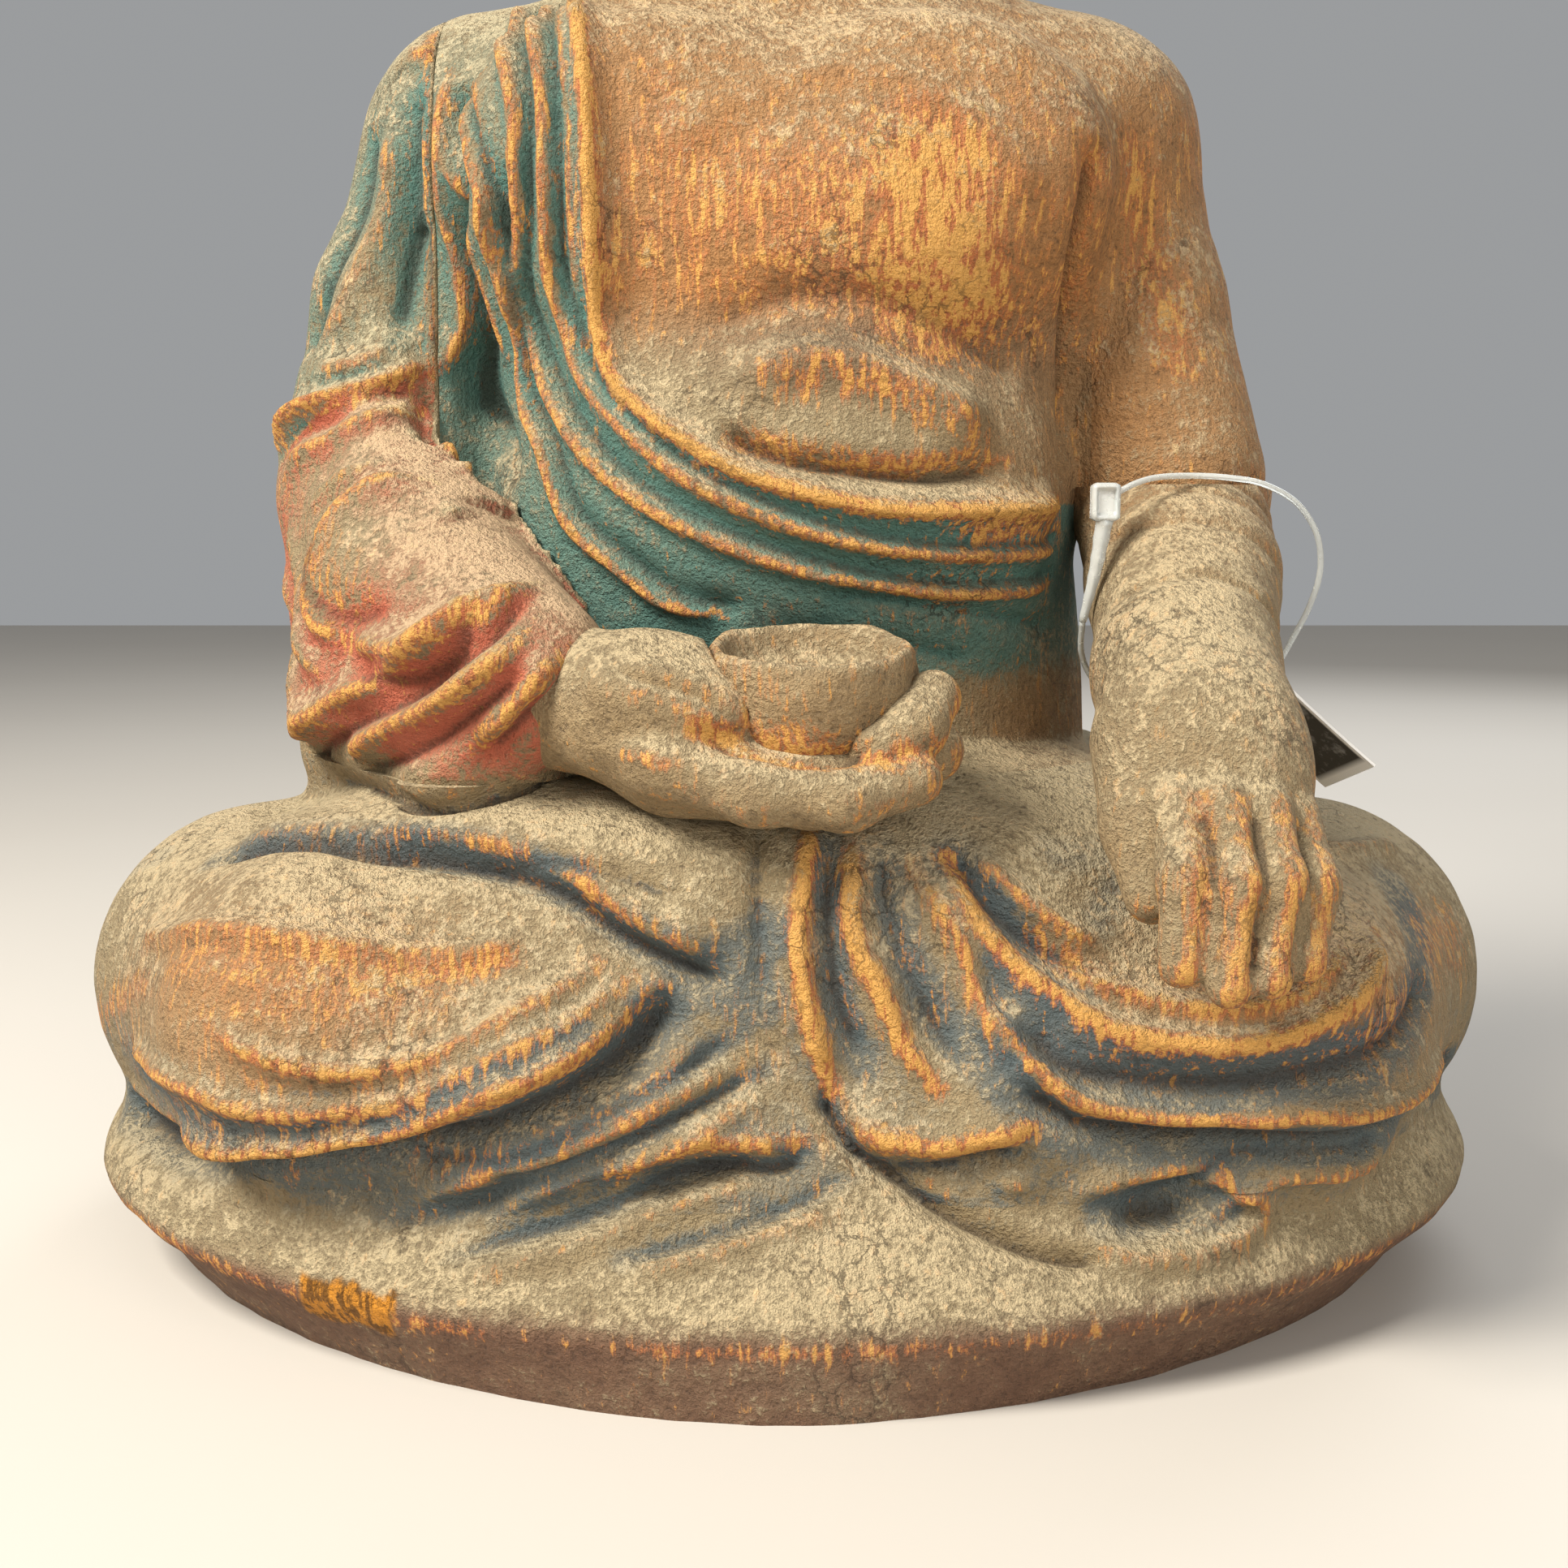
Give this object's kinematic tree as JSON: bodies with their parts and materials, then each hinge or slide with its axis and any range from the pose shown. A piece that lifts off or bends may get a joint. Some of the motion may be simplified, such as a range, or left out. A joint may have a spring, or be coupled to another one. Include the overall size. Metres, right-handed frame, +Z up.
{
  "type": "seated buddha statue",
  "caption": "Carved wooden figure seated cross-legged on a thin rounded base, robe over one shoulder, one hand holding an alms bowl and one reaching down over the knee",
  "frame": {"origin": "middle of the base's underside, on the surface the statue stands on", "axes": "+Z up, the figure faces -Y, +X is the figure's left side"},
  "size_m": [0.251, 0.189, 0.322],
  "materials": {
    "worn_brown_paint": "old brown paint and dust, cracked and matte, worn to wood at the lip",
    "worn_teal_paint": "old teal paint over orange ground, cracked, dusty and matte",
    "worn_red_paint": "old terracotta red paint, cracked and matte",
    "worn_gilt_wood": "aged yellow ochre ground over wood, worn in streaks, low sheen",
    "dusty_bowl_paint": "dusty khaki paint, matte",
    "bare_wood": "bare turned wood",
    "sutra_paper": "aged rolled paper",
    "silk_tie": "faded silk cord",
    "clear_nylon": "clear nylon, glossy",
    "tag_card": "dark printed card with a pale edge"
  },
  "bodies": {
    "figure": {"base_board": "worn_brown_paint", "lap_block": "worn_teal_paint", "torso": "worn_teal_paint", "head": "worn_gilt_wood", "right_sleeve": "worn_red_paint", "right_hand": "worn_gilt_wood", "alms_bowl": "dusty_bowl_paint", "left_upper_arm": "worn_gilt_wood", "left_forearm": "worn_gilt_wood", "left_hand": "worn_gilt_wood", "base_pegs": "bare_wood", "torso_pegs": "bare_wood", "shoulder_pegs": "bare_wood", "arm_pegs": "bare_wood", "neck_peg": "bare_wood", "bowl_peg": "bare_wood", "sutra_scroll": "sutra_paper", "scroll_tie": "silk_tie", "tag_loop": "clear_nylon", "tag_lock": "clear_nylon"},
    "cover": {"back_cover": "worn_teal_paint"},
    "card": {"price_tag": "tag_card"}
  },
  "joints": [
    {"name": "cover_pull", "type": "slide", "parent": "figure", "child": "cover", "axis": [0, 1, 0], "range_m": [0, 0.05]},
    {"name": "card_swing", "type": "hinge", "parent": "figure", "child": "card", "pos_m": [0.0805, -0.024, 0.0995], "axis": [-0.5906, -0.5, -0.6334], "range_deg": [0, 35]}
  ]
}
